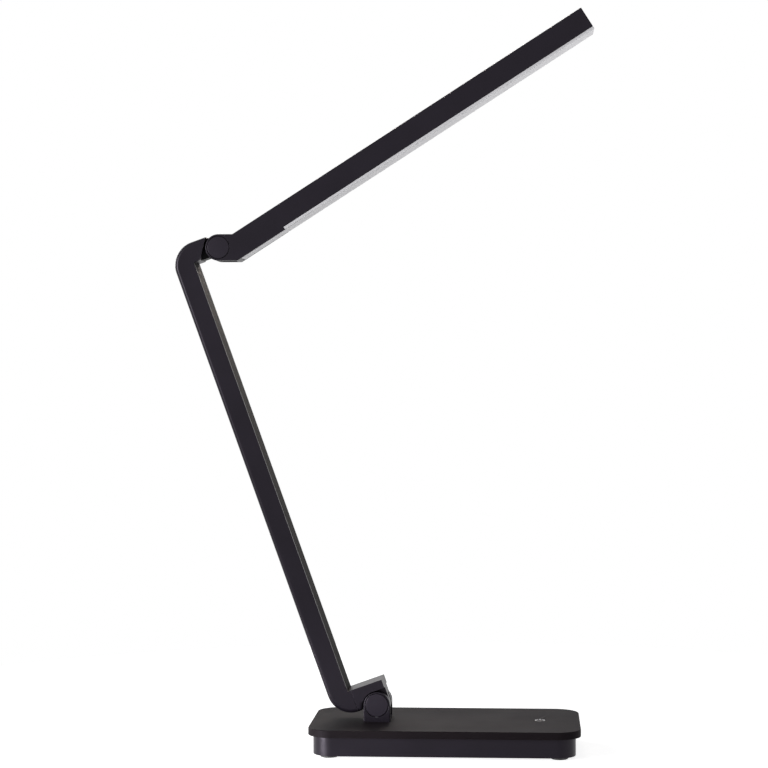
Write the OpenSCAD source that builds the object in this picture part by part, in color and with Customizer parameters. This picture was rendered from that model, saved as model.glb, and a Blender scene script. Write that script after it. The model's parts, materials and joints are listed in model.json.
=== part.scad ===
// Folding LED desk lamp: weighted base with a touch mark, bracket-shaped arm, slim LED head.
// Millimetres. +X from the hinge end of the base to its touch end, +Y away from the viewer,
// +Z up. The origin is on the desk under the middle of the base.

/* [Base] */
// Length of the lid, which is the longest part of the base
base_length = 150; // [144:1:200]
// Width of the lid
base_width = 81.5; // [78:0.5:120]
// Corner radius of the lid, seen from above
base_corner = 14; // [11:0.5:18]
// How far the lid stands out over the tray
rim_overhang = 2.8; // [1.5:0.1:4]
// Height of the lid's visible side
lid_side = 4.1; // [3.6:0.1:6]
// Thickness of the lid's top plate
lid_plate = 2.2; // [1.8:0.1:2.6]
// Height of the tray between feet and lid
tray_height = 10.5; // [10:0.5:16]
// Wall and floor thickness of the tray
tray_wall = 2; // [1.6:0.1:2.4]
// Height of the rubber feet below the tray
foot_height = 1.6; // [1:0.1:3]
// Diameter of the rubber feet
foot_diameter = 9.6; // [9:0.1:11]
// Distance of the feet from the sides of the tray
foot_inset = 9; // [8:0.5:11]

/* [Base contents] */
// Thickness of the steel weight
ballast_thickness = 4; // [3:0.25:4.5]
// Length of the steel weight
ballast_length = 96; // [80:1:98]
// Width of the steel weight
ballast_width = 66; // [50:1:70]
// Length of the flat battery
battery_length = 60; // [40:1:66]
// Width of the flat battery
battery_width = 40; // [30:1:41]
// Thickness of the flat battery
battery_thickness = 4.6; // [3.5:0.1:4.8]
// Length of the circuit board along the base
board_length = 24; // [20:1:26]
// Width of the circuit board
board_width = 46; // [44:1:50]
// Thickness of the circuit board
board_thickness = 1.2; // [0.8:0.1:1.6]
// Diameter of the touch mark on the lid
mark_diameter = 5.8; // [5:0.1:10]
// Distance of the touch mark from the touch end of the lid
mark_inset = 22.3; // [20:0.1:30]

/* [Hinges] */
// Distance of the lower pivot from the hinge end of the lid
pivot_inset = 36.7; // [34:0.1:40]
// Height of the lower pivot over the lid
pivot_height = 9.2; // [9:0.1:12]
// Radius of the bracket's round ears
ear_radius = 7.4; // [7.2:0.1:7.6]
// Thickness of the bracket's ears
ear_thickness = 4; // [3.6:0.1:4.6]
// Diameter of the lower hinge pin
lower_pin_diameter = 5; // [4:0.1:5.2]
// Diameter of the lower round caps
lower_cap_diameter = 12.8; // [12:0.1:13]
// Radius of the head's round hinge end
cheek_radius = 7.4; // [7.3:0.1:7.8]
// Thickness of the head's hinge cheeks
cheek_thickness = 4; // [3.6:0.1:4.4]
// Diameter of the upper hinge pin
upper_pin_diameter = 4; // [3.5:0.1:4.2]
// Diameter of the upper round caps
upper_cap_diameter = 12.4; // [11.4:0.1:12.8]
// Thickness of the round caps
cap_thickness = 1.2; // [1:0.1:1.3]
// Thickness of the pin heads and lock nuts
fastener_thickness = 1.4; // [1.2:0.1:1.5]

/* [Arm] */
// Distance between the two pivots along the arm
arm_length = 271; // [265:1:320]
// Width of the arm
arm_width = 22; // [21:0.5:26]
// Depth of the arm's column
arm_depth = 11.5; // [11:0.1:14]
// Wall thickness of the arm's shell and cover
arm_wall = 1.6; // [1.2:0.1:1.8]
// Outer radius of the arm's two bends
arm_bend = 13.5; // [12:0.5:15]
// Distance from the lower pivot to the column's inner face
lower_reach = 12.8; // [12.4:0.1:15]
// Distance from the upper pivot to the column's inner face
upper_reach = 15.6; // [15.2:0.1:18]
// Height of the lower block's top face over its pivot
lower_rise = 12.7; // [12:0.1:14]
// Height of the upper stub's outer face over its pivot
upper_rise = 7.9; // [7.6:0.1:8.4]
// Depth of the upper stub's inner face under its pivot
upper_drop = 3.3; // [2.8:0.1:3.6]
// Lean of the arm from the vertical as the lamp stands
arm_lean = 19.8; // [12:0.1:24]

/* [Head] */
// Distance from the upper pivot to the tip of the head
head_length = 242; // [220:1:250]
// Width of the head
head_width = 20; // [19.5:0.1:22]
// Wall thickness of the head's housing
head_wall = 1.6; // [1.2:0.1:1.8]
// Height of the head's top face over the pivot, across the bar
head_top = 1.95; // [1.5:0.05:2.5]
// Depth of the diffuser's face under the pivot, across the bar
head_bottom = 12.1; // [11.6:0.1:12.6]
// Angle of the bar to the hinge section
head_bend = 32.7; // [28:0.1:36]
// Angle of the bar to the desk as the lamp stands
head_tilt = 32.7; // [20:0.1:40]
// Distance from the pivot to where the diffuser's sides come free
step_distance = 37; // [30:1:60]
// Thickness of the diffuser's face
diffuser_thickness = 1.7; // [1.4:0.1:2.2]
// Number of LEDs
led_count = 30; // [10:1:40]

/* [Travel] */
// How far the arm leans back from where it stands, in degrees
arm_back = 12; // [6:1:12]
// How far the head folds down into the arm, in degrees
head_fold = 103.2; // [96:0.1:104]

/* [Hidden] */

$fn = 64;

// Clearances
slip = 0.1;       // between pieces that are assembled and then stay put
run_gap = 0.05;   // radial, between a pin and what turns on it
swing_gap = 0.8;  // between the outer shapes of two pieces that swing past each other
cap_gap = 0.3;    // ring groove round each cap
over = 1;         // how far a cutter runs past the face that it cuts

// Heights in the base
tray_bottom = foot_height;
floor_top = tray_bottom + tray_wall;
lid_bottom = tray_bottom + tray_height;
base_top = lid_bottom + lid_side;
plate_bottom = base_top - lid_plate;
tray_length = base_length - 2 * rim_overhang;
tray_width = base_width - 2 * rim_overhang;
tray_corner = base_corner - rim_overhang;
room_length = tray_length - 2 * tray_wall;
room_width = tray_width - 2 * tray_wall;
room_corner = tray_corner - tray_wall;
lip_depth = 1.5;
lip_wall = 1.4;
foot_sink = 0.6;
foot_edge = 0.5;
foot_x = tray_length / 2 - foot_inset;
foot_y = tray_width / 2 - foot_inset;

// Screws of the base
screw_diameter = 3;
screw_head_diameter = 5.6;
screw_head_height = 1.8;
screw_sink = 1.2;
boss_diameter = 8.6;
lid_boss_diameter = 7.6;
lid_boss_length = 4.4;
lid_boss_bottom = plate_bottom - lid_boss_length;
base_screw_end = plate_bottom - 0.8;

// Places in the base
board_gap = 0.8;
board_start = -room_length / 2 + board_gap;
board_stand = 0.8;
board_post_diameter = 5;
board_top = floor_top + board_stand + board_thickness;
ballast_start = board_start + board_length + board_gap;
ballast_top = floor_top + ballast_thickness;
ballast_corner = 4;
rib_length = 16;
rib_height = 1;
battery_start = ballast_start + 14;
battery_corner = 2;
choke_x = 13;
choke_y = -10;
choke_diameter = 6;
choke_height = 2.6;
inlet_width = 8.9;
inlet_height = 3.2;
inlet_wall = 0.3;
inlet_length = 7.3;
inlet_sink = 0.5;
inlet_back = 0.6;
contact_width = 6.6;
contact_thickness = 0.7;
inlet_start = -tray_length / 2 + inlet_sink;
inlet_z = board_top + inlet_height / 2;
light_diameter = 1.8;
light_offset = 9;
light_reach = 3;
mark_x = base_length / 2 - mark_inset;
mark_depth = 0.4;
mark_line = 0.7;
mark_gap = 1.7;
pad_diameter = mark_diameter + 6;
pad_thickness = 0.8;
wire_diameter = 1.4;
plug_x = board_start + board_length - 1;
plug_wall = 0.3;
battery_wire_y = 13;
touch_wire_y = -battery_width / 2 - wire_diameter;
lead_diameter = 2.4;
lead_hole = 3.2;

// Lower hinge
hinge_x = pivot_inset - base_length / 2;
hinge_z = base_top + pivot_height;
ear_inner = arm_width / 2 - ear_thickness;
tongue_gap = 0.6;
washer_thickness = 0.5;
lower_tongue = ear_inner - tongue_gap;
knuckle_radius = ear_radius - 0.1;
bracket_plate = pivot_height - knuckle_radius - 0.5;
cap_recess = cap_thickness;
cap_edge = 0.3;
counterbore_depth = fastener_thickness + slip;
lower_head_diameter = lower_pin_diameter + 3.6;
upper_head_diameter = upper_pin_diameter + 3.6;
bracket_screw_diameter = 2.6;
bracket_screw_y = arm_width / 2 - ear_thickness / 2;
bracket_screw_rise = 2.6;
bracket_head_diameter = 4.6;
small_head_height = 1.2;
groove_width = 3.6;
groove_core = 1.1;

// Arm, in its own frame: x across the column towards the head, z along it, lower pivot at zero
column_inner = -lower_reach;
column_outer = column_inner - arm_depth;
upper_x = upper_reach - lower_reach;
stub_top = arm_length + upper_rise;
stub_bottom = arm_length - upper_drop;
joint_x = column_inner + 1.8;
shell_room = arm_width / 2 - arm_wall;
lead_bend = 5;
lead_end = 2;     // how far before the pivot the lead ends in the tongue's groove
lead_x = column_inner - arm_wall - 2 * slip - lead_diameter / 2;
lower_lead_z = (knuckle_radius + lower_pin_diameter / 2 + groove_core) / 2;
upper_lead_z = arm_length + 4.4;
leg_front = column_inner - arm_wall - slip;
leg_thickness = 3.2;
leg_back = leg_front - leg_thickness;
leg_length = 17;
leg_bottom = arm_wall + arm_bend / 4;
leg_screw_y = 5.6;
leg_screw_diameter = 2.5;
leg_screw_setback = 4.5;
leg_boss_diameter = 5.4;
leg_head_diameter = 4.2;
leg_head_height = 1.2;
arm_fold = 90 + arm_lean;

// Upper hinge and head, in the head's frame: x along the bar, z across it, pivot at zero
cheek_inner = head_width / 2 - cheek_thickness;
upper_tongue = cheek_inner - tongue_gap;
tongue_radius = cheek_radius - 0.2;
fork_depth = cheek_radius + 2.1;
fork_web = 2;
head_room = head_width / 2 - head_wall;
top_bend_x = (cheek_radius - head_top * cos(head_bend)) / sin(head_bend);
low_bend_x = (head_bottom * cos(head_bend) - cheek_radius) / sin(head_bend);
diffuser_start = low_bend_x + 2.2;
room_start = top_bend_x + 4;
led_boss = 3;
room_top = head_top - head_wall;
board_z = room_top - led_boss;
led_boss_diameter = 4.2;
board_screw_inset = 12;
board_screw_y = 4.2;
head_screw_depth = 2.8;
head_lead_turn = fork_depth + fork_web + lead_diameter / 4;
head_lead_z = -head_lead_turn * sin(head_bend);
strip_thickness = 1;
strip_start = room_start + 6;
strip_end = head_length - 6;
lead_overlap = 1; // how far the lead reaches under the board's connector
strip_width = 13;
led_start = strip_start + 9;
led_end = strip_end - 4;
led_size = 2.8;
led_height = 0.7;
head_screw_diameter = 2;
head_screw_head = 3.6;
head_screw_count = 4;
clip_height = 3.6;
clip_wall = 1.2;

// Shapes

module rounded_area(l, w, r) {
    square([l - 2 * r, w], center = true);
    square([l, w - 2 * r], center = true);
    for (x = [-1, 1], y = [-1, 1])
        translate([x * (l / 2 - r), y * (w / 2 - r)]) circle(r = r);
}

module slab(l, w, r, z0, z1)
    translate([0, 0, z0]) linear_extrude(z1 - z0) rounded_area(l, w, r);

module block(x0, x1, y0, y1, z0, z1)
    translate([x0, y0, z0]) cube([x1 - x0, y1 - y0, z1 - z0]);

// A flat shape drawn in x and z, made w wide along Y, its middle at y
module wide(w, y = 0)
    translate([0, y, 0]) rotate([90, 0, 0]) linear_extrude(w, center = true) children();

// A round bar along Y from y0 to y1
module bar_y(d, y0, y1)
    translate([0, y0, 0]) rotate([-90, 0, 0]) cylinder(d = d, h = y1 - y0);

// A round bar along X from x0 to x1
module bar_x(d, x0, x1)
    translate([x0, 0, 0]) rotate([0, 90, 0]) cylinder(d = d, h = x1 - x0);

module ring_y(d, bore, y0, y1) difference() {
    bar_y(d, y0, y1);
    bar_y(bore, y0 - over, y1 + over);
}

module at_feet()
    for (x = [-1, 1], y = [-1, 1]) translate([x * foot_x, y * foot_y, 0]) children();

module in_arm() translate([hinge_x, 0, hinge_z]) rotate([0, -arm_lean, 0]) children();

module in_head()
    in_arm() translate([upper_x, 0, arm_length]) rotate([0, arm_lean - head_tilt, 0]) children();

// Base

module base_tray() color("#26242a") difference() {
    union() {
        difference() {
            slab(tray_length, tray_width, tray_corner, tray_bottom, lid_bottom);
            slab(room_length, room_width, room_corner, floor_top, lid_bottom + over);
        }
        at_feet() translate([0, 0, floor_top])
            cylinder(d = boss_diameter, h = lid_boss_bottom - floor_top);
        for (y = [-1, 1]) translate([board_start + board_length / 2, y * board_width / 4, floor_top])
            cylinder(d = board_post_diameter, h = board_stand);
        // Ribs that keep the weight in place
        for (x = [ballast_start - board_gap, ballast_start + ballast_length + slip])
            block(x, x + board_gap - slip, -rib_length / 2, rib_length / 2,
                floor_top, floor_top + rib_height);
    }
    at_feet() {
        translate([0, 0, tray_bottom - over]) cylinder(d = foot_diameter + slip, h = over + foot_sink);
        translate([0, 0, tray_bottom])
            cylinder(d = screw_head_diameter + 2 * slip, h = tray_wall + screw_sink);
        translate([0, 0, tray_bottom]) cylinder(d = screw_diameter + 2 * slip, h = tray_height);
    }
    block(-tray_length / 2 - over, -room_length / 2 + over, -inlet_width / 2 - slip,
        inlet_width / 2 + slip, board_top, board_top + inlet_height + slip);
    translate([0, light_offset, inlet_z])
        bar_x(light_diameter + 2 * slip, -tray_length / 2 - over, -room_length / 2 + over);
}

module base_lid() color("#34302f") difference() {
    union() {
        difference() {
            slab(base_length, base_width, base_corner, lid_bottom, base_top);
            slab(room_length, room_width, room_corner, lid_bottom - over, plate_bottom);
        }
        difference() {
            slab(room_length - 2 * slip, room_width - 2 * slip, room_corner - slip,
                lid_bottom - lip_depth, plate_bottom);
            slab(room_length - 2 * lip_wall, room_width - 2 * lip_wall, room_corner - lip_wall,
                lid_bottom - lip_depth - over, plate_bottom);
        }
        at_feet() translate([0, 0, lid_boss_bottom])
            cylinder(d = lid_boss_diameter, h = lid_boss_length);
    }
    at_feet() translate([0, 0, lid_boss_bottom - over])
        cylinder(d = screw_diameter + 2 * run_gap, h = base_screw_end + run_gap - lid_boss_bottom + over);
    translate([hinge_x, 0, plate_bottom - over]) cylinder(d = lead_hole, h = lid_plate + 2 * over);
    for (y = [-1, 1]) translate([hinge_x, y * bracket_screw_y, plate_bottom - over])
        cylinder(d = bracket_screw_diameter + 2 * slip, h = lid_plate + 2 * over);
    translate([mark_x, 0, base_top - mark_depth]) linear_extrude(mark_depth + over) mark_area();
}

// Open ring with a short bar in its gap
module mark_area() {
    difference() {
        circle(d = mark_diameter);
        circle(d = mark_diameter - 2 * mark_line);
        translate([-mark_gap / 2, 0]) square([mark_gap, mark_diameter]);
    }
    translate([-mark_line / 2, mark_diameter / 6]) square([mark_line, mark_diameter / 2]);
}

module touch_mark() color("#d8d8d8")
    translate([mark_x, 0, base_top - mark_depth]) linear_extrude(mark_depth) mark_area();

module touch_pad() color("#b87333")
    translate([mark_x, 0, plate_bottom - pad_thickness]) cylinder(d = pad_diameter, h = pad_thickness);

module rubber_feet() color("#1b1b1c") at_feet() rotate_extrude() polygon([
    [0, 0], [foot_diameter / 2 - foot_edge, 0], [foot_diameter / 2, foot_edge],
    [foot_diameter / 2, foot_height + foot_sink], [0, foot_height + foot_sink]
]);

module base_screws() color("#9a9a9e") at_feet() {
    head_start = floor_top + screw_sink - screw_head_height;
    translate([0, 0, head_start]) cylinder(d = screw_head_diameter, h = screw_head_height);
    translate([0, 0, head_start]) cylinder(d = screw_diameter, h = base_screw_end - head_start);
}

module ballast_plate() color("#6f7276") difference() {
    translate([ballast_start + ballast_length / 2, 0, 0])
        slab(ballast_length, ballast_width, ballast_corner, floor_top, ballast_top);
    at_feet() translate([0, 0, floor_top - over])
        cylinder(d = boss_diameter + 2 * slip, h = ballast_thickness + 2 * over);
}

module battery_cell() color("#8f9296") translate([battery_start + battery_length / 2, 0, 0])
    slab(battery_length, battery_width, battery_corner, ballast_top, ballast_top + battery_thickness);

module main_board() color("#1f5b36") {
    block(board_start, board_start + board_length, -board_width / 2, board_width / 2,
        board_top - board_thickness, board_top);
    // Charger chip and driver chip, each as its middle and its size, then the choke
    for (chip = [[[13, -0.5], [4, 5, 1]], [[14, 8], [4, 4, 1.2]]])
        translate([board_start + chip[0][0] - chip[1][0] / 2, chip[0][1] - chip[1][1] / 2, board_top])
            cube(chip[1]);
    translate([board_start + choke_x, choke_y, board_top]) cylinder(d = choke_diameter, h = choke_height);
    // Connectors of the lamp, battery and touch leads
    for (plug = [[0, lead_diameter], [battery_wire_y, wire_diameter], [touch_wire_y, wire_diameter]])
        block(plug_x - 4, plug_x, plug[0] - plug[1], plug[0] + plug[1],
            board_top, ballast_top + plug[1] + plug_wall);
}

module inlet_area(w, h) rotate(90) rounded_area(w, h, h / 2 - 0.01);

module usb_inlet() color("#b4b6ba") translate([inlet_start, 0, inlet_z]) rotate([0, 90, 0]) difference() {
    linear_extrude(inlet_length) inlet_area(inlet_width, inlet_height);
    translate([0, 0, -over]) linear_extrude(inlet_length - inlet_back + over)
        inlet_area(inlet_width - 2 * inlet_wall, inlet_height - 2 * inlet_wall);
}

module inlet_tongue() color("#17171a")
    block(inlet_start + inlet_sink, inlet_start + inlet_length - inlet_back,
        -contact_width / 2, contact_width / 2,
        inlet_z - contact_thickness / 2, inlet_z + contact_thickness / 2);

module charge_light() color("#e8efe6") translate([0, light_offset, inlet_z])
    bar_x(light_diameter, -tray_length / 2 + slip, board_start + light_reach);

// Leads from the board to the hinge, the battery and the touch pad
module base_wiring() color("#2b2b2e") {
    lamp_z = ballast_top + lead_diameter / 2;
    translate([0, 0, lamp_z]) bar_x(lead_diameter, plug_x, hinge_x);
    translate([hinge_x, 0, lamp_z]) sphere(d = lead_diameter);
    translate([hinge_x, 0, lamp_z])
        cylinder(d = lead_diameter, h = hinge_z - lower_lead_z + lead_diameter / 2 - lamp_z);
    wire_z = ballast_top + wire_diameter / 2;
    translate([0, battery_wire_y, wire_z]) bar_x(wire_diameter, plug_x, battery_start);
    translate([0, touch_wire_y, wire_z]) bar_x(wire_diameter, plug_x, mark_x);
    translate([mark_x, touch_wire_y, wire_z]) sphere(d = wire_diameter);
    translate([mark_x, 0, wire_z]) bar_y(wire_diameter, touch_wire_y, 0);
    translate([mark_x, 0, wire_z]) sphere(d = wire_diameter);
    translate([mark_x, 0, wire_z]) cylinder(d = wire_diameter, h = plate_bottom - pad_thickness - wire_z);
}

module hinge_bracket() color("#201f23") difference() {
    union() {
        for (side = [-1, 1]) translate([hinge_x, 0, hinge_z])
            wide(ear_thickness, side * (ear_inner + ear_thickness / 2)) {
                circle(r = ear_radius);
                translate([-ear_radius, -pivot_height]) square([2 * ear_radius, pivot_height]);
            }
        block(hinge_x - ear_radius, hinge_x + ear_radius, -arm_width / 2, arm_width / 2,
            base_top, base_top + bracket_plate);
    }
    translate([hinge_x, 0, hinge_z]) hinge_bores(arm_width / 2, lower_cap_diameter, lower_head_diameter,
        lower_pin_diameter);
    translate([hinge_x, 0, base_top - over]) cylinder(d = lead_hole, h = pivot_height);
    for (y = [-1, 1]) translate([hinge_x, y * bracket_screw_y, base_top - over])
        cylinder(d = bracket_screw_diameter + 2 * run_gap, h = over + bracket_screw_rise + run_gap);
}

// The pin's bore through a fork, with its counterbores and the recesses for the caps
module hinge_bores(half_width, cap_diameter, head_diameter, pin_diameter) {
    bar_y(pin_diameter + 2 * run_gap, -half_width - over, half_width + over);
    for (side = [0, 180]) rotate([0, 0, side]) {
        bar_y(cap_diameter + 2 * cap_gap, -half_width - over, -half_width + cap_recess);
        bar_y(head_diameter + 2 * slip, -half_width, -half_width + cap_recess + counterbore_depth);
    }
}

// Pin with its head on the near side
module hinge_pin(half_width, head_diameter, pin_diameter) {
    seat = -half_width + cap_recess + counterbore_depth;
    bar_y(head_diameter, seat - fastener_thickness, seat);
    bar_y(pin_diameter, seat - fastener_thickness, half_width - cap_recess - slip);
}

module hinge_nut(half_width, head_diameter, pin_diameter) {
    seat = half_width - cap_recess - counterbore_depth;
    difference() {
        translate([0, seat, 0]) rotate([-90, 0, 0])
            cylinder(d = head_diameter, h = fastener_thickness, $fn = 6);
        bar_y(pin_diameter + 2 * run_gap, seat - over, seat + fastener_thickness + over);
    }
}

// Spring washers between the fork and the tongue
module hinge_washers(inner, diameter, pin_diameter)
    for (side = [0, 180]) rotate([0, 0, side])
        ring_y(diameter, pin_diameter + 2 * run_gap, inner - washer_thickness, inner);

// Round covers with a soft outer edge
module hinge_caps(half_width, diameter) for (side = [0, 180]) rotate([0, 0, side])
    translate([0, half_width - cap_recess, 0]) rotate([-90, 0, 0]) rotate_extrude() polygon([
        [0, 0], [diameter / 2, 0], [diameter / 2, cap_thickness - cap_edge],
        [diameter / 2 - cap_edge, cap_thickness], [0, cap_thickness]
    ]);

module bracket_screws() color("#9a9a9e") for (y = [-1, 1])
    translate([hinge_x, y * bracket_screw_y, plate_bottom - small_head_height]) {
        cylinder(d = bracket_head_diameter, h = small_head_height);
        cylinder(d = bracket_screw_diameter, h = small_head_height + lid_plate + bracket_screw_rise);
    }

module lower_pin() color("#8d8f94") translate([hinge_x, 0, hinge_z])
    hinge_pin(arm_width / 2, lower_head_diameter, lower_pin_diameter);

module lower_nut() color("#8d8f94") translate([hinge_x, 0, hinge_z])
    hinge_nut(arm_width / 2, lower_head_diameter, lower_pin_diameter);

module lower_washers() color("#a6a8ac") translate([hinge_x, 0, hinge_z])
    hinge_washers(ear_inner, 2 * knuckle_radius - 2, lower_pin_diameter);

module lower_caps() color("#28262b") translate([hinge_x, 0, hinge_z])
    hinge_caps(arm_width / 2, lower_cap_diameter);

// Arm

// Outline of the column with its two bends, inset all round by the given amount
module column_area(inset) difference() {
    union() {
        translate([column_outer + inset, inset])
            square([arm_depth - inset, stub_top - 2 * inset]);
        translate([column_outer + inset, stub_bottom + inset])
            square([upper_x - column_outer, stub_top - stub_bottom - 2 * inset]);
        translate([column_outer + inset, inset])
            square([joint_x - column_outer - inset, lower_rise - 2 * inset]);
    }
    for (end = [0, 1]) bend_waste(end, inset);
}

// What a round bend takes off its square corner
module bend_waste(end, inset)
    translate([column_outer + arm_bend, end ? stub_top - arm_bend : arm_bend]) difference() {
        translate([-arm_bend - over, end ? 0 : -arm_bend - over]) square(arm_bend + over);
        circle(r = arm_bend - inset);
    }

// Everything past the slanted end of the upper stub, where the folded head swings in
module past_stub_end()
    translate([upper_x, arm_length]) rotate(-arm_lean - head_fold + head_tilt - head_bend)
        translate([-3 * arm_bend, -cheek_radius - swing_gap])
            square([3 * arm_bend + fork_depth + fork_web, 4 * arm_bend]);

// What the bracket sweeps as the arm turns from one limit to the other
module bracket_sweep() {
    reach = ear_radius + swing_gap / 2;
    circle(r = reach);
    for (turn = [-arm_back, arm_fold]) rotate(turn - 90 - arm_lean)
        translate([0, -reach]) square([4 * ear_radius, 2 * reach]);
}

module arm_shell() color("#252329") in_arm() difference() {
    union() {
        difference() {
            wide(arm_width) difference() {
                column_area(0);
                past_stub_end();
            }
            wide(2 * shell_room) column_area(arm_wall);
            // Open inner face, closed by the cover
            block(column_inner - arm_wall, column_inner + over, -shell_room, shell_room,
                lower_rise, stub_bottom);
            // Mouths for the two knuckles
            block(joint_x - over, joint_x + over, -shell_room, shell_room, arm_wall, lower_rise - arm_wall);
        }
        for (z = [knuckle_leg_z(0), knuckle_leg_z(1)], y = [-1, 1]) translate([0, y * leg_screw_y, z])
            bar_x(leg_boss_diameter, column_outer + arm_wall / 2, leg_back);
    }
    for (z = [knuckle_leg_z(0), knuckle_leg_z(1)], y = [-1, 1]) translate([0, y * leg_screw_y, z])
        bar_x(leg_screw_diameter + 2 * run_gap, column_outer + arm_wall, leg_back + over);
}

// Where the screws of the lower and the upper knuckle sit along the column
function knuckle_leg_z(end) = end
    ? stub_bottom - leg_length + leg_screw_setback
    : lower_rise + leg_length - leg_screw_setback;

module arm_cover() color("#3a3532") in_arm()
    block(column_inner - arm_wall, column_inner, -shell_room + slip, shell_room - slip,
        lower_rise + slip, stub_bottom - slip);

// Leg of a knuckle inside the column, split for the lead and bored for its screws
module knuckle_leg(z0, z1, screw_z) difference() {
    block(leg_back, leg_front, -shell_room + slip, shell_room - slip, z0, z1);
    for (y = [-1, 1]) translate([0, y * leg_screw_y, screw_z]) {
        bar_x(leg_screw_diameter + 2 * run_gap, leg_back - over, leg_front + over);
        bar_x(leg_head_diameter + 2 * slip, leg_front - leg_head_height - run_gap, leg_front + over);
    }
}

// Ring groove in a tongue that lets the lead pass the pin
module lead_groove(pin_diameter, radius) rotate([90, 0, 0]) difference() {
    cylinder(r = radius + over, h = groove_width, center = true);
    cylinder(r = pin_diameter / 2 + groove_core, h = groove_width + over, center = true);
}

module lower_knuckle() color("#221f23") in_arm() difference() {
    union() {
        // Full-width block, cut back where the bracket swings
        wide(arm_width) difference() {
            translate([joint_x, 0]) square([knuckle_radius - joint_x, lower_rise]);
            bend_waste(0, 0);
            bracket_sweep();
        }
        // Tongue between the ears
        wide(2 * lower_tongue) {
            circle(r = knuckle_radius);
            difference() {
                translate([joint_x, 0]) square([knuckle_radius - joint_x, lower_rise]);
                bend_waste(0, 0);
            }
        }
        // Spigot and leg inside the shell
        block(leg_back, joint_x, -shell_room + slip, shell_room - slip,
            leg_bottom, lower_rise - arm_wall - slip);
        knuckle_leg(leg_bottom, lower_rise + leg_length, knuckle_leg_z(0));
    }
    bar_y(lower_pin_diameter + 2 * run_gap, -arm_width, arm_width);
    lead_groove(lower_pin_diameter, knuckle_radius);
    block(leg_back - over, 0, -groove_width / 2, groove_width / 2,
        lower_lead_z - lead_hole / 2, lower_lead_z + lead_hole / 2);
    block(leg_back - over, lead_x + lead_bend, -groove_width / 2, groove_width / 2,
        lower_lead_z - lead_hole / 2, lower_rise + leg_length + over);
}

module upper_knuckle() color("#141316") in_arm() difference() {
    union() {
        // Spigot and leg inside the shell
        wide(2 * shell_room - 2 * slip) difference() {
            translate([leg_back, stub_bottom + arm_wall + slip])
                square([upper_x - leg_back, stub_top - stub_bottom - 2 * arm_wall - 2 * slip]);
            bend_waste(1, arm_wall + slip);
            past_stub_end();
        }
        knuckle_leg(stub_bottom - leg_length, stub_bottom + arm_wall + 2 * slip, knuckle_leg_z(1));
        // Tongue between the head's cheeks
        wide(2 * upper_tongue) intersection() {
            union() {
                translate([upper_x, arm_length]) circle(r = tongue_radius);
                translate([column_inner, stub_bottom])
                    square([upper_x - column_inner, upper_drop + tongue_radius]);
            }
            past_stub_end();
        }
    }
    translate([upper_x, 0, arm_length]) {
        bar_y(upper_pin_diameter + 2 * run_gap, -arm_width, arm_width);
        lead_groove(upper_pin_diameter, tongue_radius);
    }
    block(leg_back - over, upper_x, -groove_width / 2, groove_width / 2,
        upper_lead_z - lead_hole / 2, stub_top);
    block(leg_back - over, lead_x + lead_bend, -groove_width / 2, groove_width / 2,
        stub_bottom - leg_length - over, upper_lead_z);
}

module knuckle_screws() color("#9a9a9e") in_arm()
    for (z = [knuckle_leg_z(0), knuckle_leg_z(1)], y = [-1, 1]) translate([0, y * leg_screw_y, z])
        knuckle_screw();

module knuckle_screw() {
    bar_x(leg_screw_diameter, column_outer + arm_wall + slip, leg_front);
    bar_x(leg_head_diameter, leg_front - leg_head_height, leg_front);
}

// Lead from the lower knuckle's groove up the column to the upper knuckle's groove
module arm_lead() color("#2b2b2e") in_arm() {
    translate([0, 0, lower_lead_z]) bar_x(lead_diameter, lead_x + lead_bend, -lead_end);
    translate([lead_x + lead_bend, 0, lower_lead_z + lead_bend]) lead_turn(180);
    translate([lead_x, 0, lower_lead_z + lead_bend])
        cylinder(d = lead_diameter, h = upper_lead_z - lower_lead_z - 2 * lead_bend);
    translate([lead_x + lead_bend, 0, upper_lead_z - lead_bend]) lead_turn(90);
    translate([0, 0, upper_lead_z]) bar_x(lead_diameter, lead_x + lead_bend, upper_x - lead_end);
}

// Quarter turn of a lead, from the given angle on
module lead_turn(from) rotate([90, 0, 0]) rotate([0, 0, from])
    rotate_extrude(angle = 90) translate([lead_bend, 0]) circle(d = lead_diameter);

// Head

// Side view of the whole head: round hinge end, hinge section and bar
module head_area() rotate(-head_bend) {
    bar_corners = [
        [top_bend_x, head_top], [head_length, head_top],
        [head_length, -head_bottom], [low_bend_x, -head_bottom]
    ];
    turn = [[cos(head_bend), -sin(head_bend)], [sin(head_bend), cos(head_bend)]];
    circle(r = cheek_radius);
    polygon([[0, cheek_radius], for (corner = bar_corners) turn * corner, [0, -cheek_radius]]);
}

// What lies on the hinge's side of a line square to the hinge section
module hinge_side(distance) rotate(-head_bend) translate([-4 * cheek_radius, -4 * cheek_radius])
    square([4 * cheek_radius + distance, 8 * cheek_radius]);

module head_housing() color("#252329") in_head() difference() {
    union() {
        difference() {
            wide(head_width) difference() {
                head_area();
                // The sides end higher where the diffuser comes free
                translate([step_distance, -head_bottom - over])
                    square([head_length, over + diffuser_thickness]);
            }
            // Fork for the arm's tongue
            wide(2 * cheek_inner) hinge_side(fork_depth);
            // Room for the LED board, open below, and the diffuser's seat
            wide(2 * head_room) {
                translate([room_start, -head_bottom - over])
                    square([head_length - head_wall - room_start, head_bottom + over + room_top]);
                translate([diffuser_start - slip, -head_bottom - over])
                    square([room_start, over + diffuser_thickness]);
            }
        }
        at_board_screws() cylinder(d = led_boss_diameter, h = room_top - board_z + head_wall / 2);
    }
    at_board_screws() translate([0, 0, -over])
        cylinder(d = head_screw_diameter + 2 * run_gap, h = over + head_screw_depth + run_gap);
    hinge_bores(head_width / 2, upper_cap_diameter, upper_head_diameter, upper_pin_diameter);
    wide(lead_hole) head_lead_area(lead_hole, room_start + over);
}

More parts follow.
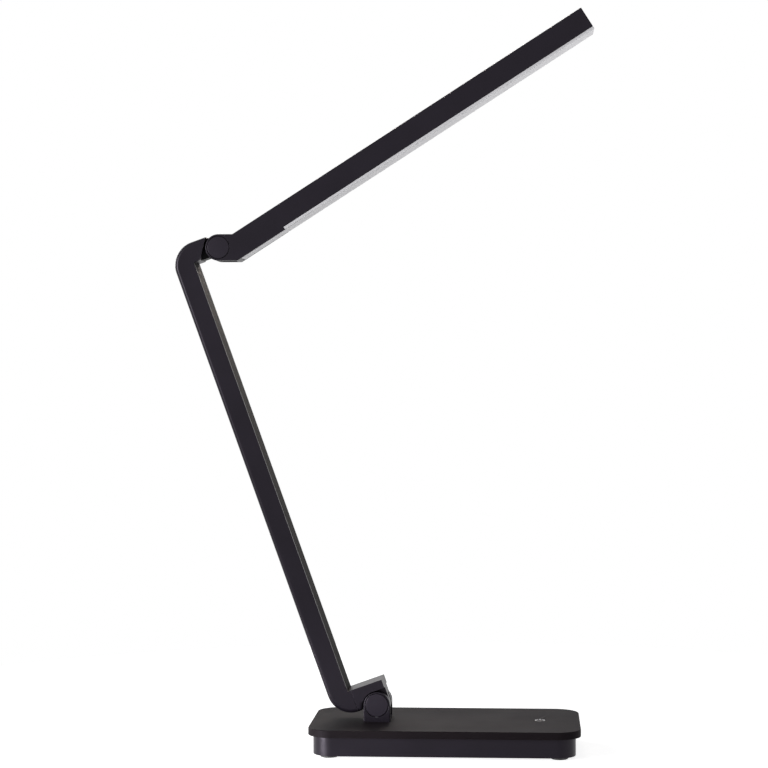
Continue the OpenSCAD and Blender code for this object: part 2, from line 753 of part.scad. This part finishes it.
// The screws of the LED board, at the top face of the board
module at_board_screws() for (i = [0:head_screw_count - 1]) {
    pitch = (strip_end - strip_start - 2 * board_screw_inset) / (head_screw_count - 1);
    translate([strip_start + board_screw_inset + i * pitch, board_screw_y, board_z]) children();
}

// Way of the lead from the hinge along the hinge section, then along the bar to x = end
module head_lead_area(w, end) {
    rotate(-head_bend) translate([0, -w / 2]) square([head_lead_turn, w]);
    translate([head_lead_turn * cos(head_bend), head_lead_z]) {
        circle(d = w);
        translate([0, -w / 2]) square([end - head_lead_turn * cos(head_bend), w]);
    }
}

module diffuser() color("#e9e9ea") in_head() {
    // Face, as wide as the head where its sides are free
    wide(head_width) translate([step_distance + slip, -head_bottom])
        square([head_length - step_distance - slip, diffuser_thickness - slip]);
    wide(2 * head_room - 2 * slip) translate([diffuser_start, -head_bottom])
        square([step_distance + 1 - diffuser_start, diffuser_thickness - slip]);
    // Clip walls inside the housing
    for (side = [-1, 1]) wide(clip_wall, side * (head_room - slip - clip_wall / 2))
        translate([room_start + slip, -head_bottom])
            square([head_length - head_wall - room_start - 2 * slip, diffuser_thickness + clip_height]);
}

module led_board() color("#e2e4e0") in_head() difference() {
    union() {
        block(strip_start, strip_end, -strip_width / 2, strip_width / 2, board_z - strip_thickness, board_z);
        // Connector of the lead
        block(strip_start + lead_overlap, led_start - led_size, -lead_diameter, lead_diameter,
            head_lead_z - lead_diameter / 2 - plug_wall, board_z);
    }
    at_board_screws() translate([0, 0, -strip_thickness - over])
        cylinder(d = head_screw_diameter + 2 * slip, h = strip_thickness + 2 * over);
}

module led_chips() color("#f2e9a8") in_head() for (i = [0:led_count - 1])
    translate([led_start + i * (led_end - led_start) / (led_count - 1), 0,
        board_z - strip_thickness - led_height / 2])
        cube([led_size, led_size, led_height], center = true);

module head_screws() color("#9a9a9e") in_head() at_board_screws()
    translate([0, 0, -strip_thickness - small_head_height]) {
        cylinder(d = head_screw_head, h = small_head_height);
        cylinder(d = head_screw_diameter, h = small_head_height + strip_thickness + head_screw_depth);
    }

module head_lead() color("#2b2b2e") in_head() {
    rotate([0, head_bend, 0]) bar_x(lead_diameter, upper_pin_diameter / 2 + groove_core + slip,
        head_lead_turn + lead_diameter / 4);
    translate([0, 0, head_lead_z]) bar_x(lead_diameter, head_lead_turn * cos(head_bend) - lead_diameter / 4,
        strip_start + lead_overlap);
}

module upper_pin() color("#8d8f94") in_head()
    hinge_pin(head_width / 2, upper_head_diameter, upper_pin_diameter);

module upper_nut() color("#8d8f94") in_head()
    hinge_nut(head_width / 2, upper_head_diameter, upper_pin_diameter);

module upper_washers() color("#a6a8ac") in_head()
    hinge_washers(cheek_inner, 2 * tongue_radius - 2, upper_pin_diameter);

module upper_caps() color("#2a282d") in_head()
    hinge_caps(head_width / 2, upper_cap_diameter);

base_tray();
base_lid();
rubber_feet();
base_screws();
ballast_plate();
battery_cell();
main_board();
usb_inlet();
inlet_tongue();
charge_light();
touch_mark();
touch_pad();
base_wiring();
hinge_bracket();
bracket_screws();
lower_pin();
lower_nut();
lower_washers();
lower_caps();
arm_shell();
arm_cover();
lower_knuckle();
upper_knuckle();
knuckle_screws();
arm_lead();
head_housing();
diffuser();
led_board();
led_chips();
head_screws();
head_lead();
upper_pin();
upper_nut();
upper_washers();
upper_caps();
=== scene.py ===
import json
import math

import bmesh
import bpy
from mathutils import Matrix, Vector


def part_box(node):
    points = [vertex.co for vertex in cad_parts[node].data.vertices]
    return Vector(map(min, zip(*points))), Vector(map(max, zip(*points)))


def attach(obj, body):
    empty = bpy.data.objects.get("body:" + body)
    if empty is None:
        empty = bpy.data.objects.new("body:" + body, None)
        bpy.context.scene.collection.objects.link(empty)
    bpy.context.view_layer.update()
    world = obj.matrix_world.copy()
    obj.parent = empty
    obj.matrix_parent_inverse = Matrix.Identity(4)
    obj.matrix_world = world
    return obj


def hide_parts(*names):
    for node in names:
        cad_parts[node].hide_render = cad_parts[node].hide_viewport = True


# Folding LED desk lamp. Metres. The main shells are copies of the CAD nodes' own meshes with their
# sharp edges rounded, and the caps and feet are turned. All other nodes keep their CAD mesh and get
# the material of their slot.

MM = 0.001
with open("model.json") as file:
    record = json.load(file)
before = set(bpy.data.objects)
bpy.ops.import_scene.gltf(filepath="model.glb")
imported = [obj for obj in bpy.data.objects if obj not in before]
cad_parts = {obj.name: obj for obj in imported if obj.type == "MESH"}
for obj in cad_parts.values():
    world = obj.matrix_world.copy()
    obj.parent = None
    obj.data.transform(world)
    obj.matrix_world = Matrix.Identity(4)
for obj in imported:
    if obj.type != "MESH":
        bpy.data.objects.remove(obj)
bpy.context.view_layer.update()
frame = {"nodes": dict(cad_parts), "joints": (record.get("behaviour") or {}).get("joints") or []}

# Places that the frame gives
lid_low, lid_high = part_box("base_lid")
tray_low, tray_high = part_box("base_tray")
joints = {joint["name"]: Vector(joint["pos_m"]) for joint in frame["joints"]}
lower_pivot = joints["base_hinge"]
upper_pivot = joints["head_hinge"]

# Angles and sizes of the design, as in part.scad
ARM_LEAN = math.radians(19.8)
HEAD_TILT = math.radians(32.7)
ARM_HALF = 11 * MM
HEAD_HALF = 10 * MM
EAR_RADIUS = 7.4 * MM
ARM_INNER = -12.8 * MM
STUB_TOP = 278.9 * MM
LID_CORNER = 14 * MM
FOOT_RADIUS = 4.8 * MM
CAP_THICKNESS = 1.2 * MM

# Radii that soften the sharp edges
ARM_EDGE = 2.2 * MM
LID_EDGE = 0.5 * MM
TRAY_EDGE = 0.4 * MM
HEAD_EDGE = 0.6 * MM
BRACKET_EDGE = 0.5 * MM
RING_EDGE = 0.1 * MM
CAP_EDGE = 0.45 * MM
FOOT_EDGE = 0.6 * MM
DIFFUSER_EDGE = 0.6 * MM
SMALL_EDGE = 0.25 * MM
EDGE_STEPS = 4
CAP_CROWN = 0.06 * MM

# Limits that tell one kind of edge from another
CORNER_REACH = 10 * MM
LID_LIP = 3 * MM
EAR_INSIDE = 6.5 * MM
EAR_FOOT = 4 * MM
EAR_MARGIN = 0.3 * MM
CAP_RING = 7 * MM
ARM_BLOCK_START = -12 * MM
ARM_END_ZONE = 3 * MM
HEAD_TIP_START = 200 * MM
HEAD_UNDERSIDE = -9 * MM
HEAD_FORK_END = 8 * MM
DIFFUSER_FACE = -12.05 * MM
DIFFUSER_TIP = 241.9 * MM

# Light and floor
ROOM_LIGHT = 0.04
FLOOR_COLOUR = (0.8, 0.8, 0.8, 1)
FLOOR_GLOW = 0.85
FLOOR_RADIUS = 0.45
LAMP_MIDDLE = (-0.04, 0, 0.2)
WARM = (1, 0.87, 0.79)

# Finishes. The black plastics mirror a little more blue and red than green
PURPLE_SHEEN = (0.93, 0.84, 1)
CLOUD_SCALE = 45
ROUGHNESS_SPREAD = 0.06
RELIEF_STRENGTH = 0.35
WEAR_RADIUS = 0.6 * MM

# Outward edges that turn by more than SHARP can be rounded. Places within NEAR count as the same
SHARP = math.radians(25)
NEAR = 0.02 * MM

arm_frame = Matrix.Translation(lower_pivot) @ Matrix.Rotation(-ARM_LEAN, 4, "Y")
head_frame = Matrix.Translation(upper_pivot) @ Matrix.Rotation(-HEAD_TILT, 4, "Y")


# Meshes

def new_object(name, mesh):
    thing = bpy.data.objects.new(name, mesh)
    bpy.context.scene.collection.objects.link(thing)
    return thing


def apply_modifiers(thing):
    """Turns the object's modifiers into plain mesh."""
    depsgraph = bpy.context.evaluated_depsgraph_get()
    mesh = bpy.data.meshes.new_from_object(thing.evaluated_get(depsgraph))
    thing.modifiers.clear()
    thing.data = mesh


def smooth_with_flat_faces(thing):
    """Shades rounded edges smoothly and keeps the large faces flat."""
    thing.data.shade_smooth()
    thing.data.set_sharp_from_angle(angle=math.radians(40))
    weighted = thing.modifiers.new("weighted", "WEIGHTED_NORMAL")
    weighted.keep_sharp = True
    apply_modifiers(thing)


def rounded_copy(node, name, width_at):
    """A copy of a CAD node with its flat faces joined and its sharp edges rounded.
    width_at takes the middle and the direction of an edge and gives its radius, or 0."""
    work = bmesh.new()
    work.from_mesh(frame["nodes"][node].data)
    bmesh.ops.remove_doubles(work, verts=work.verts, dist=0.001 * MM)
    bmesh.ops.dissolve_limit(work, angle_limit=math.radians(0.5), verts=work.verts, edges=work.edges)
    weights = work.edges.layers.float.new("bevel_weight_edge")
    widest = 0
    for edge in work.edges:
        if len(edge.link_faces) != 2 or edge.calc_face_angle_signed() < SHARP:
            continue
        ends = [vert.co for vert in edge.verts]
        edge[weights] = width_at((ends[0] + ends[1]) / 2, (ends[1] - ends[0]).normalized())
        widest = max(widest, edge[weights])
    for edge in work.edges:
        edge[weights] /= widest
    mesh = bpy.data.meshes.new(name)
    work.to_mesh(mesh)
    work.free()
    mesh.materials.clear()
    thing = new_object(name, mesh)
    bevel = thing.modifiers.new("bevel", "BEVEL")
    bevel.width = widest
    bevel.segments = EDGE_STEPS
    bevel.limit_method = "WEIGHT"
    bevel.use_clamp_overlap = False
    apply_modifiers(thing)
    smooth_with_flat_faces(thing)
    return thing


def lathe(name, outline, centre, axis, steps=64):
    """A closed turned piece. outline lists (radius, height) from the bottom's middle to the top's."""
    work = bmesh.new()
    rings = []
    for radius, height in outline:
        if radius == 0:
            rings.append([work.verts.new((0, 0, height))])
            continue
        angles = [2 * math.pi * i / steps for i in range(steps)]
        rings.append([work.verts.new((radius * math.cos(a), radius * math.sin(a), height)) for a in angles])
    for lower, upper in zip(rings, rings[1:]):
        for i in range(steps):
            j = (i + 1) % steps
            corners = [lower[i % len(lower)], lower[j % len(lower)]]
            corners += [upper[j % len(upper)], upper[i % len(upper)]]
            work.faces.new(list(dict.fromkeys(corners)))
    bmesh.ops.recalc_face_normals(work, faces=work.faces)
    mesh = bpy.data.meshes.new(name)
    work.to_mesh(mesh)
    work.free()
    turn = Vector((0, 0, 1)).rotation_difference(Vector(axis)).to_matrix().to_4x4()
    mesh.transform(Matrix.Translation(centre) @ turn)
    thing = new_object(name, mesh)
    smooth_with_flat_faces(thing)
    return thing


def quarter(radius, height, size, steps=5):
    """Points of a quarter circle of the given size that rounds the corner at (radius, height)."""
    turns = [math.pi / 2 * i / steps for i in range(steps + 1)]
    return [(radius - size + size * math.cos(t), height - size + size * math.sin(t)) for t in turns]


# Materials

def socket_value(node, name, value):
    node.inputs[name].default_value = value


def srgb(red, green, blue):
    """A colour written as it looks on screen, from 0 to 255."""
    def linear(level):
        level /= 255
        return level / 12.92 if level <= 0.04045 else ((level + 0.055) / 1.055) ** 2.4
    return (linear(red), linear(green), linear(blue), 1)


def noise(tree, place, scale, detail):
    """Noise that sticks to the object."""
    texture = tree.nodes.new("ShaderNodeTexNoise")
    socket_value(texture, "Scale", scale)
    socket_value(texture, "Detail", detail)
    tree.links.new(place.outputs["Object"], texture.inputs["Vector"])
    return texture.outputs["Fac"]


def colour_variation(tree, clouds, dark, light):
    """A colour that drifts between dark and light."""
    mix = tree.nodes.new("ShaderNodeMix")
    mix.data_type = "RGBA"
    mix.inputs["A"].default_value = dark
    mix.inputs["B"].default_value = light
    tree.links.new(clouds, mix.inputs["Factor"])
    return mix.outputs["Result"]


def surface_relief(tree, speckle, depth):
    """A normal with fine grain."""
    relief = tree.nodes.new("ShaderNodeBump")
    socket_value(relief, "Strength", RELIEF_STRENGTH)
    socket_value(relief, "Distance", depth)
    tree.links.new(speckle, relief.inputs["Height"])
    return relief.outputs["Normal"]


def uneven_roughness(tree, clouds, roughness):
    """A roughness that drifts a little to both sides."""
    gloss = tree.nodes.new("ShaderNodeMapRange")
    socket_value(gloss, "To Min", roughness - ROUGHNESS_SPREAD)
    socket_value(gloss, "To Max", roughness + ROUGHNESS_SPREAD)
    tree.links.new(clouds, gloss.inputs["Value"])
    return gloss.outputs["Result"]


def rubbed_edges(tree, colour, light, wear):
    """The colour, rubbed a little lighter at edges, where a rounded normal leaves the true one."""
    rounded = tree.nodes.new("ShaderNodeBevel")
    rounded.samples = 4
    socket_value(rounded, "Radius", WEAR_RADIUS)
    surface = tree.nodes.new("ShaderNodeNewGeometry")
    likeness = tree.nodes.new("ShaderNodeVectorMath")
    likeness.operation = "DOT_PRODUCT"
    tree.links.new(rounded.outputs["Normal"], likeness.inputs[0])
    tree.links.new(surface.outputs["Normal"], likeness.inputs[1])
    edge = tree.nodes.new("ShaderNodeMapRange")
    socket_value(edge, "From Min", 1)
    socket_value(edge, "From Max", 0.85)
    socket_value(edge, "To Max", wear)
    tree.links.new(likeness.outputs["Value"], edge.inputs["Value"])
    mix = tree.nodes.new("ShaderNodeMix")
    mix.data_type = "RGBA"
    mix.inputs["B"].default_value = tuple(min(1, 2.2 * level + 0.02) for level in light[:3]) + (1,)
    tree.links.new(edge.outputs["Result"], mix.inputs["Factor"])
    tree.links.new(colour, mix.inputs["A"])
    return mix.outputs["Result"]


def finish_material(name, dark, light, roughness, metallic=0, grain=0.25 * MM, bump=0.02 * MM,
                    wear=0.15, specular=0.5, tint=(1, 1, 1)):
    """A finish with cloudy colour variation, fine grain in bump, uneven roughness and rubbed edges."""
    material = bpy.data.materials.new(name)
    material.use_nodes = True
    tree = material.node_tree
    shader = tree.nodes["Principled BSDF"]
    socket_value(shader, "Metallic", metallic)
    socket_value(shader, "Specular IOR Level", specular)
    socket_value(shader, "Specular Tint", tint + (1,))

    place = tree.nodes.new("ShaderNodeTexCoord")
    clouds = noise(tree, place, CLOUD_SCALE, 6)
    speckle = noise(tree, place, 1 / grain, 3)
    colour = rubbed_edges(tree, colour_variation(tree, clouds, dark, light), light, wear)
    tree.links.new(colour, shader.inputs["Base Color"])
    tree.links.new(uneven_roughness(tree, clouds, roughness), shader.inputs["Roughness"])
    tree.links.new(surface_relief(tree, speckle, bump), shader.inputs["Normal"])
    return material


materials = {
    "satin_black": finish_material("satin_black_finish", srgb(13, 11, 15), srgb(22, 19, 26), 0.36,
                                   specular=0.18, tint=PURPLE_SHEEN),
    "lid_black": finish_material("lid_black_finish", srgb(16, 13, 15), srgb(24, 20, 22), 0.62,
                                 wear=0.05, specular=0.05, tint=PURPLE_SHEEN),
    "cover_black": finish_material("cover_black_finish", srgb(14, 12, 12), srgb(22, 19, 18), 0.7,
                                   specular=0.05),
    "knuckle_black": finish_material("knuckle_black_finish", srgb(8, 7, 9), srgb(14, 12, 15), 0.5,
                                     specular=0.1),
    "cap_black": finish_material("cap_black_finish", srgb(22, 19, 25), srgb(32, 29, 36), 0.38,
                                 specular=0.18, tint=PURPLE_SHEEN),
    "foot_rubber": finish_material("foot_rubber_finish", srgb(20, 19, 20), srgb(30, 29, 30), 0.5),
    # The diffuser is white plastic, but its colour is written a light grey, darker than its own white:
    # painted shade for the shade it lies in under the head
    "diffuser_white": finish_material("diffuser_shaded_grey_finish", srgb(190, 189, 192), srgb(202, 201, 204),
                                      0.4, wear=0.03, grain=0.8 * MM, bump=0.001 * MM, specular=0.3),
    "mark_white": finish_material("mark_white_finish", srgb(200, 200, 202), srgb(225, 225, 228), 0.5,
                                  wear=0.05),
    "screw_steel": finish_material("screw_steel_finish", srgb(120, 120, 126), srgb(160, 160, 165), 0.35, 1),
    "pin_steel": finish_material("pin_steel_finish", srgb(125, 127, 132), srgb(165, 167, 172), 0.3, 1),
    "weight_steel": finish_material("weight_steel_finish", srgb(90, 92, 95), srgb(126, 128, 132), 0.55, 1),
    "inlet_steel": finish_material("inlet_steel_finish", srgb(170, 172, 176), srgb(198, 200, 204), 0.28, 1),
    "inlet_black": finish_material("inlet_black_finish", srgb(18, 18, 20), srgb(28, 28, 31), 0.5),
    "light_clear": finish_material("light_clear_finish", srgb(205, 214, 203), srgb(232, 240, 230), 0.2,
                                   wear=0.03),
    "battery_foil": finish_material("battery_foil_finish", srgb(125, 128, 130), srgb(158, 161, 164), 0.4, 1),
    "board_green": finish_material("board_green_finish", srgb(22, 76, 44), srgb(36, 100, 60), 0.45),
    "board_white": finish_material("board_white_finish", srgb(210, 213, 208), srgb(230, 232, 228), 0.4),
    "led_yellow": finish_material("led_yellow_finish", srgb(232, 214, 132), srgb(248, 236, 178), 0.35),
    "pad_copper": finish_material("pad_copper_finish", srgb(170, 104, 58), srgb(200, 132, 78), 0.35, 1),
    "wire_black": finish_material("wire_black_finish", srgb(26, 26, 28), srgb(40, 40, 43), 0.5),
}


def dress(thing, body, slot, *nodes):
    """Gives a new piece its finish, and lets it ride on its body and stand for its CAD nodes."""
    thing.data.materials.clear()
    thing.data.materials.append(materials[slot])
    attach(thing, body)
    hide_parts(*nodes)


# CAD nodes that stay take the finish of their own slot
for node in frame["nodes"].values():
    for holder in node.material_slots:
        holder.material = materials[holder.material.name]


# Base

def in_corner(middle):
    """True near the outside of one of the base's four round corners."""
    corner = Vector((lid_high.x, lid_high.y)) - Vector((LID_CORNER, LID_CORNER))
    reach = Vector((max(0, abs(middle.x) - corner.x), max(0, abs(middle.y) - corner.y)))
    return reach.length > CORNER_REACH


def on_outside(middle):
    """True near the base's outside, seen from above."""
    return abs(middle.x) > tray_high.x - MM or abs(middle.y) > tray_high.y - MM or in_corner(middle)


def lid_edge(middle, _):
    if not on_outside(middle):
        return 0
    if middle.z > lid_high.z - NEAR:
        return LID_EDGE
    return SMALL_EDGE if middle.z < lid_low.z + LID_LIP else 0


def tray_edge(middle, _):
    return TRAY_EDGE if on_outside(middle) and middle.z < tray_low.z + NEAR else 0


def bracket_edge(middle, _):
    place = middle - lower_pivot
    if abs(abs(place.y) - ARM_HALF) > NEAR:
        return SMALL_EDGE if abs(place.y) > EAR_INSIDE and middle.z > lid_high.z + EAR_FOOT else 0
    reach = math.hypot(place.x, place.z)
    if reach < EAR_RADIUS - EAR_MARGIN:
        return RING_EDGE
    return BRACKET_EDGE if middle.z > lid_high.z + NEAR else 0


dress(rounded_copy("base_lid", "lid_skin", lid_edge), "base", "lid_black", "base_lid")
dress(rounded_copy("base_tray", "tray_skin", tray_edge), "base", "satin_black", "base_tray")
dress(rounded_copy("hinge_bracket", "bracket_skin", bracket_edge), "base", "satin_black", "hinge_bracket")

foot_low, foot_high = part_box("rubber_feet")
for x in (foot_low.x + FOOT_RADIUS, foot_high.x - FOOT_RADIUS):
    for y in (foot_low.y + FOOT_RADIUS, foot_high.y - FOOT_RADIUS):
        side = f"{'left' if x < 0 else 'right'}_{'near' if y < 0 else 'far'}"
        rounded = [(r, -h) for r, h in quarter(FOOT_RADIUS, 0, FOOT_EDGE)]
        outline = [(0, 0)] + rounded[::-1] + [(FOOT_RADIUS, foot_high.z), (0, foot_high.z)]
        foot = lathe(f"foot_{side}", outline, Vector((x, y, 0)), (0, 0, 1))
        dress(foot, "base", "foot_rubber", "rubber_feet")


def cap_pair(node, body, half, pivot):
    """The two round covers of a hinge, slightly crowned and soft at the edge."""
    low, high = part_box(node)
    radius = (high.x - low.x) / 2
    for side, name in ((-1, "near"), (1, "far")):
        rim = quarter(radius, CAP_THICKNESS - CAP_CROWN, CAP_EDGE)
        crown = [(radius / 2, CAP_THICKNESS - CAP_CROWN / 4), (0, CAP_THICKNESS)]
        outline = [(0, 0), (radius, 0)] + rim + crown
        centre = Vector((pivot.x, side * (half - CAP_THICKNESS), pivot.z))
        dress(lathe(f"{node}_{name}", outline, centre, (0, side, 0)), body, "cap_black", node)


cap_pair("lower_caps", "base", ARM_HALF, lower_pivot)
cap_pair("upper_caps", "head", HEAD_HALF, upper_pivot)


# Arm

def crosswise(along):
    """True for an edge that runs across the lamp, along Y."""
    return abs(along.y) > 0.99


def arm_edge(middle, along):
    place = arm_frame.inverted() @ middle
    if abs(abs(place.y) - ARM_HALF) > NEAR:
        return SMALL_EDGE if crosswise(along) and place.x > ARM_BLOCK_START else 0
    outer = place.x < ARM_INNER - MM or place.z < ARM_END_ZONE or place.z > STUB_TOP - ARM_END_ZONE
    return ARM_EDGE if outer else SMALL_EDGE


dress(rounded_copy("arm_shell", "arm_skin", arm_edge), "arm", "satin_black", "arm_shell")
dress(rounded_copy("lower_knuckle", "lower_knuckle_skin", arm_edge), "arm", "satin_black", "lower_knuckle")


# Head

def head_edge(middle, along):
    place = head_frame.inverted() @ middle
    if abs(abs(place.y) - HEAD_HALF) > NEAR:
        return SMALL_EDGE if crosswise(along) and place.x > HEAD_TIP_START else 0
    reach = math.hypot(place.x, place.z)
    if reach < CAP_RING:
        return RING_EDGE
    return SMALL_EDGE if place.z < HEAD_UNDERSIDE and place.x > HEAD_FORK_END else HEAD_EDGE


def diffuser_edge(middle, _):
    place = head_frame.inverted() @ middle
    return DIFFUSER_EDGE if place.z < DIFFUSER_FACE or place.x > DIFFUSER_TIP else 0


dress(rounded_copy("head_housing", "head_skin", head_edge), "head", "satin_black", "head_housing")
dress(rounded_copy("diffuser", "diffuser_skin", diffuser_edge), "head", "diffuser_white", "diffuser")


# Camera, from the photograph's vanishing lines. The small lens shift stands for its crop

CAMERA_PLACE = (46.14 * MM, -1184.06 * MM, 214.26 * MM)
CAMERA_DOWN = math.radians(0.459)
CAMERA_LEFT = math.radians(3.106)

camera_data = bpy.data.cameras.new("camera")
camera_data.lens = 98.89
camera_data.shift_x = -0.039
camera_data.sensor_width = 36
camera_data.clip_start = 0.05
camera = bpy.data.objects.new("camera", camera_data)
camera.location = CAMERA_PLACE
camera.rotation_euler = (math.radians(90) - CAMERA_DOWN, 0, CAMERA_LEFT)
bpy.context.scene.collection.objects.link(camera)
bpy.context.scene.camera = camera


# Floor, lamps and world

def soft_lamp(name, place, target, width, height, radiance, colour=(1, 1, 1), spread=180):
    """A rectangular lamp that the camera doesn't see. At a radiance of 1 and the full spread it is as
    bright as the white backdrop, and a narrower spread makes it brighter."""
    data = bpy.data.lights.new(name, "AREA")
    data.shape = "RECTANGLE"
    data.size = width
    data.size_y = height
    data.energy = radiance * math.pi * width * height
    data.color = colour
    data.spread = math.radians(spread)
    lamp = bpy.data.objects.new(name, data)
    lamp.location = place
    lamp.rotation_euler = (Vector(target) - Vector(place)).to_track_quat("-Z", "Y").to_euler()
    lamp.visible_camera = False
    bpy.context.scene.collection.objects.link(lamp)


def backdrop_share(tree):
    """1 for rays from the camera, in mirror images and through something clear, else 0."""
    path = tree.nodes.new("ShaderNodeLightPath")
    share = path.outputs["Is Camera Ray"]
    for kind in ("Is Glossy Ray", "Is Transmission Ray"):
        total = tree.nodes.new("ShaderNodeMath")
        total.use_clamp = True
        tree.links.new(share, total.inputs[0])
        tree.links.new(path.outputs[kind], total.inputs[1])
        share = total.outputs["Value"]
    return share


def backdrop_mix(tree, plain, seen, output):
    """Shows one shader to the rays that light the lamp and another to those that see the backdrop."""
    mix = tree.nodes.new("ShaderNodeMixShader")
    tree.links.new(backdrop_share(tree), mix.inputs["Fac"])
    tree.links.new(plain, mix.inputs[1])
    tree.links.new(seen, mix.inputs[2])
    tree.links.new(mix.outputs["Shader"], output.inputs["Surface"])


def make_world():
    """A dim, slightly blue room before a white backdrop."""
    world = bpy.data.worlds.new("studio")
    bpy.context.scene.world = world
    world.use_nodes = True
    tree = world.node_tree
    room = tree.nodes["Background"]
    socket_value(room, "Color", (0.92, 0.95, 1, 1))
    socket_value(room, "Strength", ROOM_LIGHT)
    backdrop = tree.nodes.new("ShaderNodeBackground")
    socket_value(backdrop, "Color", (1, 1, 1, 1))
    output = tree.nodes["World Output"]
    backdrop_mix(tree, room.outputs["Background"], backdrop.outputs["Background"], output)


def floor_paper():
    """Matt paper that glows up to white for the rays that see the backdrop, but keeps the shadow."""
    material = bpy.data.materials.new("floor")
    material.use_nodes = True
    tree = material.node_tree
    paper = tree.nodes["Principled BSDF"]
    socket_value(paper, "Base Color", FLOOR_COLOUR)
    socket_value(paper, "Roughness", 0.9)
    socket_value(paper, "Specular IOR Level", 0)
    glow = tree.nodes.new("ShaderNodeEmission")
    socket_value(glow, "Strength", FLOOR_GLOW)
    bright = tree.nodes.new("ShaderNodeAddShader")
    tree.links.new(paper.outputs["BSDF"], bright.inputs[0])
    tree.links.new(glow.outputs["Emission"], bright.inputs[1])
    output = tree.nodes["Material Output"]
    backdrop_mix(tree, paper.outputs["BSDF"], bright.outputs["Shader"], output)
    return material


def make_floor():
    """A round floor under the feet."""
    work = bmesh.new()
    bmesh.ops.create_circle(work, cap_ends=True, segments=96, radius=FLOOR_RADIUS)
    mesh = bpy.data.meshes.new("floor")
    work.to_mesh(mesh)
    work.free()
    floor = new_object("floor", mesh)
    floor.data.materials.append(floor_paper())


make_world()
make_floor()

# Large lamps light the near faces, the right side and the head's underside. The window also gives the
# rounded left edges their highlight, the low left card the base's near corner, the back high card the
# sheen on the arm's inner face, and the back left fill the side that the camera doesn't see
soft_lamp("left_window", (-0.9, -0.75, 0.3), LAMP_MIDDLE, 0.3, 0.4, 32)
soft_lamp("low_left_card", (-0.24, -0.155, 0.018), (-0.067, -0.041, 0.008), 0.08, 0.035, 5, spread=35)
soft_lamp("overhead", (0.1, -0.9, 1.2), LAMP_MIDDLE, 1, 0.8, 1.1)
soft_lamp("right_card", (1.0, -0.35, 0.12), (-0.02, 0, 0.3), 0.6, 0.5, 2.1)
soft_lamp("low_right_card", (0.95, -0.2, -0.25), (0.05, 0, 0.33), 0.5, 0.5, 11.5)
soft_lamp("back_high_card", (-0.1, 0.6, 0.55), (-0.13, 0, 0.3), 0.3, 0.25, 1.4, WARM, spread=45)
soft_lamp("back_left_fill", (-1.0, 0.9, 0.6), LAMP_MIDDLE, 0.6, 0.6, 7)

bpy.context.scene.view_settings.view_transform = "Standard"
